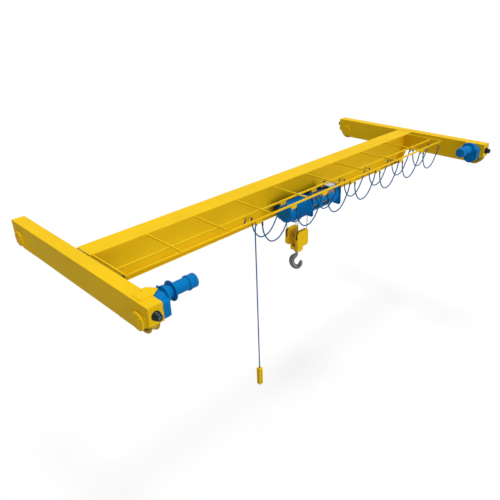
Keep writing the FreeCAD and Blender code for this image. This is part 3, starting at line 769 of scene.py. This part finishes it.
def buildStops(kit=stopKit):
    low, high, half = kit["low"], kit["high"], kit["half"]
    slopeX, slopeZ = kit["slope"]
    padY, padZ = kit["padAt"]
    stops, pads = bmesh.new(), bmesh.new()
    for x in kit["xs"]:
        e = 1 if x < 0 else -1
        back, front = x - e * half, x + e * half
        rib = [(back, low), (front, low), (front, high), (x + e * slopeX, high), (back, slopeZ)]
        for s in (-1, 1):
            inner, outer = [s * y for y in kit["ys"]]
            addPrism(stops, "xz", rib, *[s * y for y in kit["ribYs"]])
            face = [(inner, low), (outer, low), (outer, high), (inner, high)]
            addPrism(stops, "yz", face, x + e * kit["plateFrom"], front)
            addBlock(stops, x - half, x + half, inner, outer, low, kit["base"])
            addTurned(pads, (front, s * padY, padZ), (e, 0, 0), kit["pad"], 28)
            for dx in kit["bolts"]:
                for y in kit["boltYs"]:
                    addBolt(stops, (x + e * dx, s * y, kit["base"] - 1), (0, 0, 1), 10)
    finishPiece("trolleyStops", stops, "darkSteel", "bridge", ("trolley_stops",), 1)
    finishPiece("stopPads", pads, "black", "bridge")


dress("trolley_plates", "trolleyPlates", "blue", "hoist", 2.5)
dress("cross_beams", "crossBeams", "blue", "hoist", 3)
buildTrolleyWheels()
buildTrolleyBolts()
buildStops()
print("trolley made")

hoistKit = {
    "y": -500, "z": -75, "left": 95, "right": 1060, "plate": 16,
    "motorLeft": -410, "motorStart": [(0, 0), (0, 205), (3, 222), (8, 228), (30, 228), (36, 220), (40, 212)],
    "rib": [(0, 212), (3, 224), (11, 224), (14, 212)], "ribPitch": 34,
    "coverLeft": -575, "coverR": 208,
    "frameBolts": ((-190, -160), (-190, 160), (190, -160), (190, 160),
                   (-160, 190), (160, 190), (-160, -190), (160, -190)),
    "bearing": [(0, 105), (6, 105), (9, 100), (9, 78), (14, 74), (20, 70), (22, 30), (22, 0)],
    "bearingBolts": (6, 91, 0.4), "motorBolts": (10, 205, 0.2), "coverBolts": (6, 140, 0.1),
}


def buildHoistMotor(kit=hoistKit):
    long = kit["left"] - kit["motorLeft"]
    profile = list(kit["motorStart"])
    for at in range(60, long - 70, kit["ribPitch"]):
        profile += [(at + s, r) for s, r in kit["rib"]]
    profile += [(long - 46, 212), (long - 40, 222), (long - 34, 228), (long - 6, 228), (long - 1, 222),
                (long - 1, 0)]
    bm = bmesh.new()
    addTurned(bm, (kit["motorLeft"], kit["y"], kit["z"]), (1, 0, 0), profile, 72)
    finishPiece("hoistMotor", bm, "blue", "hoist", ("hoist_motor",), 0.8)


def buildGearCover(kit=hoistKit):
    long = kit["motorLeft"] - kit["coverLeft"]
    r = kit["coverR"]
    profile = [(0, 0), (0, r - 48), (4, r - 24), (12, r - 10), (22, r - 3), (30, r), (60, r), (64, r - 6),
               (70, r - 6), (74, r), (long - 24, r), (long - 20, r - 4), (long + 1, r - 4)]
    bm = bmesh.new()
    addTurned(bm, (kit["coverLeft"], kit["y"], kit["z"]), (1, 0, 0), profile, 64)
    finishPiece("hoistGearCover", bm, "blue", "hoist", ("hoist_gear_cover",), 0.8)


# the grooved drum, and the rope wound on it
drumKit = {
    "start": [(-10, 0), (-10, 60), (14, 60), (16, 160), (18, 165), (28, 165), (30, 158)],
    "groove": [(0, 157.5), (4, 152.5), (9, 150.5), (14, 152.5)], "pitch": 18,
    "turns": 31, "parts": 40, "ropeFrom": 60, "ropeOut": 156.5, "rope": 7.6,
}


def buildDrum(kit=drumKit):
    y, z = hoistKit["y"], hoistKit["z"]
    left = hoistKit["left"] + hoistKit["plate"]
    n = hoistKit["right"] - left
    profile = list(kit["start"])
    for at in range(34, n - 34, kit["pitch"]):
        profile += [(at + s, r) for s, r in kit["groove"]]
    profile += [(n - 18, 158), (n - 16, 165), (n - 4, 165), (n - 2, 160), (n - 2, 60), (n + 12, 60),
                (n + 12, 0)]
    bm = bmesh.new()
    addTurned(bm, (left, y, z), (1, 0, 0), profile, 72)
    finishPiece("drumBarrel", bm, "drum", "drum", ("rope_drum",))
    points = []
    r, parts = kit["ropeOut"], kit["parts"]
    for k in range(kit["turns"] * parts + 1):
        t = 2 * math.pi * k / parts
        x = left + kit["ropeFrom"] + kit["pitch"] * k / parts
        points.append(spot(x, y + r * math.cos(t), z + r * math.sin(t)))
    bm = bmesh.new()
    addSweep(bm, points, kit["rope"])
    finishPiece("drumRope", bm, "drum", "drum")


def buildHoistBolts(kit=hoistKit):
    y, z = kit["y"], kit["z"]
    x = kit["right"] + kit["plate"]
    bearing, bolts = bmesh.new(), bmesh.new()
    for dy, dz in kit["frameBolts"]:
        addBolt(bolts, (x, y + dy, z + dz), (1, 0, 0), 20)
    addTurned(bearing, (x, y, z), (1, 0, 0), kit["bearing"], 48)
    for dy, dz in circle(*kit["bearingBolts"]):
        addBolt(bolts, (x + 8, y + dy, z + dz), (1, 0, 0), 14)
    for dy, dz in circle(*kit["motorBolts"]):
        addBolt(bolts, (kit["motorLeft"] + 1, y + dy, z + dz), (-1, 0, 0), 16)
    for dy, dz in circle(*kit["coverBolts"]):
        addBolt(bolts, (kit["coverLeft"] + 4, y + dy, z + dz), (-1, 0, 0), 14)
    finishPiece("hoistRibs", bearing, "blue", "hoist", (), 1)
    finishPiece("hoistBolts", bolts, "blue", "hoist")


# lid screws and cable glands of the grey control box
boxKit = {
    "screwIn": 16, "screw": [(0, 7), (3, 7), (4, 5), (4, 0)],
    "glands": (50, 110, 170), "gland": [(0, 10), (6, 10), (7, 8), (14, 8), (15, 6)], "glandDown": 16,
}


def buildBoxFittings(kit=boxKit):
    boxLow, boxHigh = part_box("control_box")
    x0, x1 = (boxLow.x - midX) * 1000, (boxHigh.x - midX) * 1000
    y0, y1 = (boxLow.y - midY) * 1000, (boxHigh.y - midY) * 1000
    top = boxHigh.z * 1000
    into = kit["screwIn"]
    bm = bmesh.new()
    for dx in (into, x1 - x0 - into):
        for dy in (into, y1 - y0 - into):
            addTurned(bm, (x0 + dx, y0 + dy, top - 1), (0, 0, 1), kit["screw"], 16)
    for dy in kit["glands"]:
        addTurned(bm, (x0 + 1, y0 + dy, top - kit["glandDown"]), (-1, 0, 0), kit["gland"], 16)
    finishPiece("boxFittings", bm, "darkSteel", "hoist")


dress("drum_end_plates", "drumFrame", "blue", "hoist", 2.5)
dress("drum_casing", "drumCasing", "blue", "hoist", 2)
dress("control_box", "controlBox", "grey", "hoist", 4)
buildHoistMotor()
buildGearCover()
buildDrum()
buildHoistBolts()
buildBoxFittings()
print("hoist made")

# the bottom block
blockKit = {
    "x": trolleyKit["x"], "y": 155, "z": -1105, "thick": 80, "pin": 29.9, "pinEnd": 26, "pinOut": 12,
    # half of a sheave's section, from the hub outward to the groove, which is mirrored
    "sheave": [(-26, 32), (-26, 60), (-20, 64), (-14, 130), (-22, 148), (-26, 152), (-26, 166), (-23, 166),
               (-9, 152)],
    "groove": 149.5,
    "bolts": ((-150, 150), (150, 150), (-150, -150), (150, -150)),
    "cap": [(0, 52), (5, 52), (7, 50), (7, 36), (13, 33), (13, 0)],
}


def buildBlock(kit=blockKit):
    x, z = kit["x"], kit["z"]
    dress("sheave_housings", "sheaveHousings", "yellow", "hook_block", 4)
    dress("crosshead", "crosshead", "yellow", "hook_block", 4)
    outer = kit["y"] + kit["thick"] / 2
    section = mirrored(kit["sheave"], [(0, kit["groove"])])
    sheaves, bolts = bmesh.new(), bmesh.new()
    for s in (-1, 1):
        addTurned(sheaves, (x, s * kit["y"], z), (0, 1, 0), section, 56)
        for dx, dz in kit["bolts"]:
            addBolt(bolts, (x + dx, s * outer, z + dz), (0, s, 0), 12)
    finishPiece("blockSheaves", sheaves, "darkSteel", "hook_block", ("block_sheaves",), 0.6)
    finishPiece("blockBolts", bolts, "yellow", "hook_block")
    half = outer + kit["pinOut"]
    pin, end = kit["pin"], kit["pinEnd"]
    section = [(0, 0), (0, end), (3, pin), (2 * half - 3, pin), (2 * half, end), (2 * half, 0)]
    bm = bmesh.new()
    addTurned(bm, (x, -half, z), (0, 1, 0), section)
    finishPiece("sheavePin", bm, "steel", "hook_block", ("sheave_pin",))
    bm = bmesh.new()
    for s in (-1, 1):
        addTurned(bm, (x, s * outer, z), (0, s, 0), kit["cap"], 36)
    finishPiece("pinCaps", bm, "yellow", "hook_block")


buildBlock()

hookKit = {
    # distance out from the shank, height and radius of each section
    "sections": [(0, -1520, 34), (0, -1560, 36), (-8, -1590, 44), (-38, -1618, 58), (-82, -1658, 66),
                 (-110, -1710, 66), (-118, -1775, 62), (-95, -1850, 62), (-50, -1905, 61), (5, -1928, 60),
                 (52, -1908, 56), (88, -1860, 50), (103, -1800, 43), (110, -1755, 24)],
    "point": (1.5, 9, 0.6), "flat": 0.72, "between": 4, "sides": 32, "turn": -46,
    "shankZ": -1550, "shank": [(0, 30), (20, 33), (40, 34), (74, 34), (78, 33), (255, 33), (255, 0)],
    "collarZ": -1474, "collar": [(-1, 66), (3, 66), (5, 64), (5, 44), (12, 42), (12, 34)],
    "bearingZ": -1361, "bearing": [(0, 52), (0, 58), (12, 58), (12, 54), (14, 54)],
    "nutZ": -1347, "nut": [(0, 56), (26, 56), (30, 50), (30, 34)],
}


def smoothBetween(a, b, c, d, t):
    # a smooth line's value between b and c, with their neighbours a and d
    first = (c - a) * t
    second = (2 * a - 5 * b + 4 * c - d) * t * t
    third = (3 * b - a - 3 * c + d) * t ** 3
    return 0.5 * (2 * b + first + second + third)


def smoothPath(key, parts):
    path = []
    for i in range(len(key) - 1):
        before, after = key[max(i - 1, 0)], key[min(i + 2, len(key) - 1)]
        for k in range(parts):
            fours = zip(before, key[i], key[i + 1], after)
            path.append([smoothBetween(*four, k / parts) for four in fours])
    path.append(list(key[-1]))
    return path


def buildHookBowl(kit=hookKit):
    turn = math.radians(kit["turn"])
    out = Vector((math.cos(turn), math.sin(turn), 0))
    across = Vector((-math.sin(turn), math.cos(turn), 0))
    path = smoothPath(kit["sections"], kit["between"])
    pointOut, pointUp, pointShare = kit["point"]
    lastOut, lastUp, lastR = kit["sections"][-1]
    path.append([lastOut + pointOut, lastUp + pointUp, lastR * pointShare])
    angles = [2 * math.pi * k / kit["sides"] for k in range(kit["sides"])]
    bm = bmesh.new()
    rings = []
    for i, (h, z, r) in enumerate(path):
        a, b = path[max(0, i - 1)], path[min(len(path) - 1, i + 1)]
        along = (out * (b[0] - a[0]) + Vector((0, 0, b[1] - a[1]))).normalized()
        side = across.cross(along)
        middle = spot(blockKit["x"], 0, z) + out * (h / 1000)
        ring = []
        for t in angles:
            thick = across * (r * kit["flat"] / 1000 * math.sin(t))
            ring.append(bm.verts.new(middle + side * (r / 1000 * math.cos(t)) + thick))
        rings.append(ring)
    skinRings(bm, rings)
    finishPiece("hookBowl", bm, "forged", "hook", ("hook",), 3, True, 60)


def buildHookTop(kit=hookKit):
    x = blockKit["x"]
    bm = bmesh.new()
    addTurned(bm, (x, 0, kit["shankZ"]), (0, 0, 1), kit["shank"])
    addTurned(bm, (x, 0, kit["collarZ"]), (0, 0, -1), kit["collar"])
    finishPiece("hookShank", bm, "steel", "hook")
    bm = bmesh.new()
    addTurned(bm, (x, 0, kit["bearingZ"]), (0, 0, 1), kit["bearing"])
    addTurned(bm, (x, 0, kit["nutZ"]), (0, 0, 1), kit["nut"], 6)
    finishPiece("hookNut", bm, "darkSteel", "hook")


buildHookBowl()
buildHookTop()

# four falls of laid rope between the hoist and the bottom block
ropeKit = {
    "x": blockKit["x"], "out": 160, "lowY": blockKit["y"], "lowZ": blockKit["z"],
    "topY": 185, "topZ": -455.8, "blockTop": 200,
    "r": 8, "lay": 62, "strands": 6, "strandOut": 0.63, "strandR": 0.36, "partsPerLay": 10,
}


def addFall(bm, a, b, kit=ropeKit):
    u, v, w = squareTo(b - a)
    long = (b - a).length * 1000
    count = int(long / kit["lay"] * kit["partsPerLay"])
    for k in range(kit["strands"]):
        points = []
        for i in range(count + 1):
            t = 2 * math.pi * (i / count * long / kit["lay"] + k / kit["strands"])
            off = (u * math.cos(t) + v * math.sin(t)) * (kit["r"] * kit["strandOut"] / 1000)
            points.append(a.lerp(b, i / count) + off)
        addSweep(bm, points, kit["r"] * kit["strandR"])


def buildRopes(kit=ropeKit):
    bm = bmesh.new()
    for s in (-1, 1):
        for e in (-1, 1):
            x = kit["x"] + e * kit["out"]
            addFall(bm, spot(x, s * kit["lowY"], kit["lowZ"]), spot(x, s * kit["topY"], kit["topZ"]))
    rope = finishPiece("ropeFalls", bm, "rope", "hoist", ("rope_falls",), 0, False)
    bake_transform(rope)


buildRopes()
print("hook block and ropes made")

studioKit = {
    "floorZ": -4.2, "floorWide": 3600, "floorShade": 0.2, "glow": 0.8,
    "wallWide": 300, "wallLow": -40, "wallTop": 300, "wallSides": 48,
    "sky": 0.42,
    "sun": {"energy": 1.86, "from": (0.14, 0.10, 0.985), "soft": 16},
    "fill": {"energy": 2.15, "from": (-0.02, -1.0, 0.0), "soft": 50},
}


def addStagePiece(name, bm, shade, glow):
    # a matt surface that gives off some light of its own, and only the camera sees
    mesh = bpy.data.meshes.new(name)
    bm.to_mesh(mesh)
    bm.free()
    paint = bpy.data.materials.new(name + "Paint")
    paint.use_nodes = True
    main = paint.node_tree.nodes["Principled BSDF"]
    main.inputs["Base Color"].default_value = (shade, shade, shade, 1)
    main.inputs["Emission Color"].default_value = (1, 1, 1, 1)
    main.inputs["Emission Strength"].default_value = glow
    main.inputs["Roughness"].default_value = 0.9
    main.inputs["Specular IOR Level"].default_value = 0.0
    mesh.materials.append(paint)
    piece = bpy.data.objects.new(name, mesh)
    scene.collection.objects.link(piece)
    piece.visible_diffuse = False  # the sky alone fills the crane's shaded sides
    piece.visible_glossy = False
    return piece


def buildFloor(kit=studioKit):
    bm = bmesh.new()
    w = kit["floorWide"] * 1000 / 2
    corners = ((-w, -w), (w, -w), (w, w), (-w, w))
    bm.faces.new([bm.verts.new(spot(x, y, kit["floorZ"] * 1000)) for x, y in corners])
    floor = addStagePiece("floor", bm, kit["floorShade"], kit["glow"])


def buildWall(kit=studioKit):
    # a white wall far round the floor, which the side views look at
    bm = bmesh.new()
    ring = circle(kit["wallSides"], kit["wallWide"])
    low = [bm.verts.new((x, y, kit["wallLow"])) for x, y in ring]
    high = [bm.verts.new((x, y, kit["wallTop"])) for x, y in ring]
    joinRings(bm, low, high)
    wall = addStagePiece("wall", bm, 0, 1.0)
    wall.visible_shadow = False


def addSun(name, kit):
    lamp = bpy.data.lights.new(name, "SUN")
    lamp.energy = kit["energy"]
    lamp.angle = math.radians(kit["soft"])
    sun = bpy.data.objects.new(name, lamp)
    sun.rotation_mode = "QUATERNION"
    sun.rotation_quaternion = Vector(kit["from"]).to_track_quat("Z", "Y")
    scene.collection.objects.link(sun)


def lightStudio(kit=studioKit):
    world = bpy.data.worlds.new("studio")
    world.use_nodes = True
    sky = world.node_tree.nodes["Background"]
    sky.inputs["Color"].default_value = (1, 1, 1, 1)
    sky.inputs["Strength"].default_value = kit["sky"]
    scene.world = world
    addSun("sun", kit["sun"])
    addSun("fill", kit["fill"])
    scene.view_settings.view_transform = "Standard"
    scene.view_settings.look = "None"


buildFloor()
buildWall()
lightStudio()
print("studio lit")
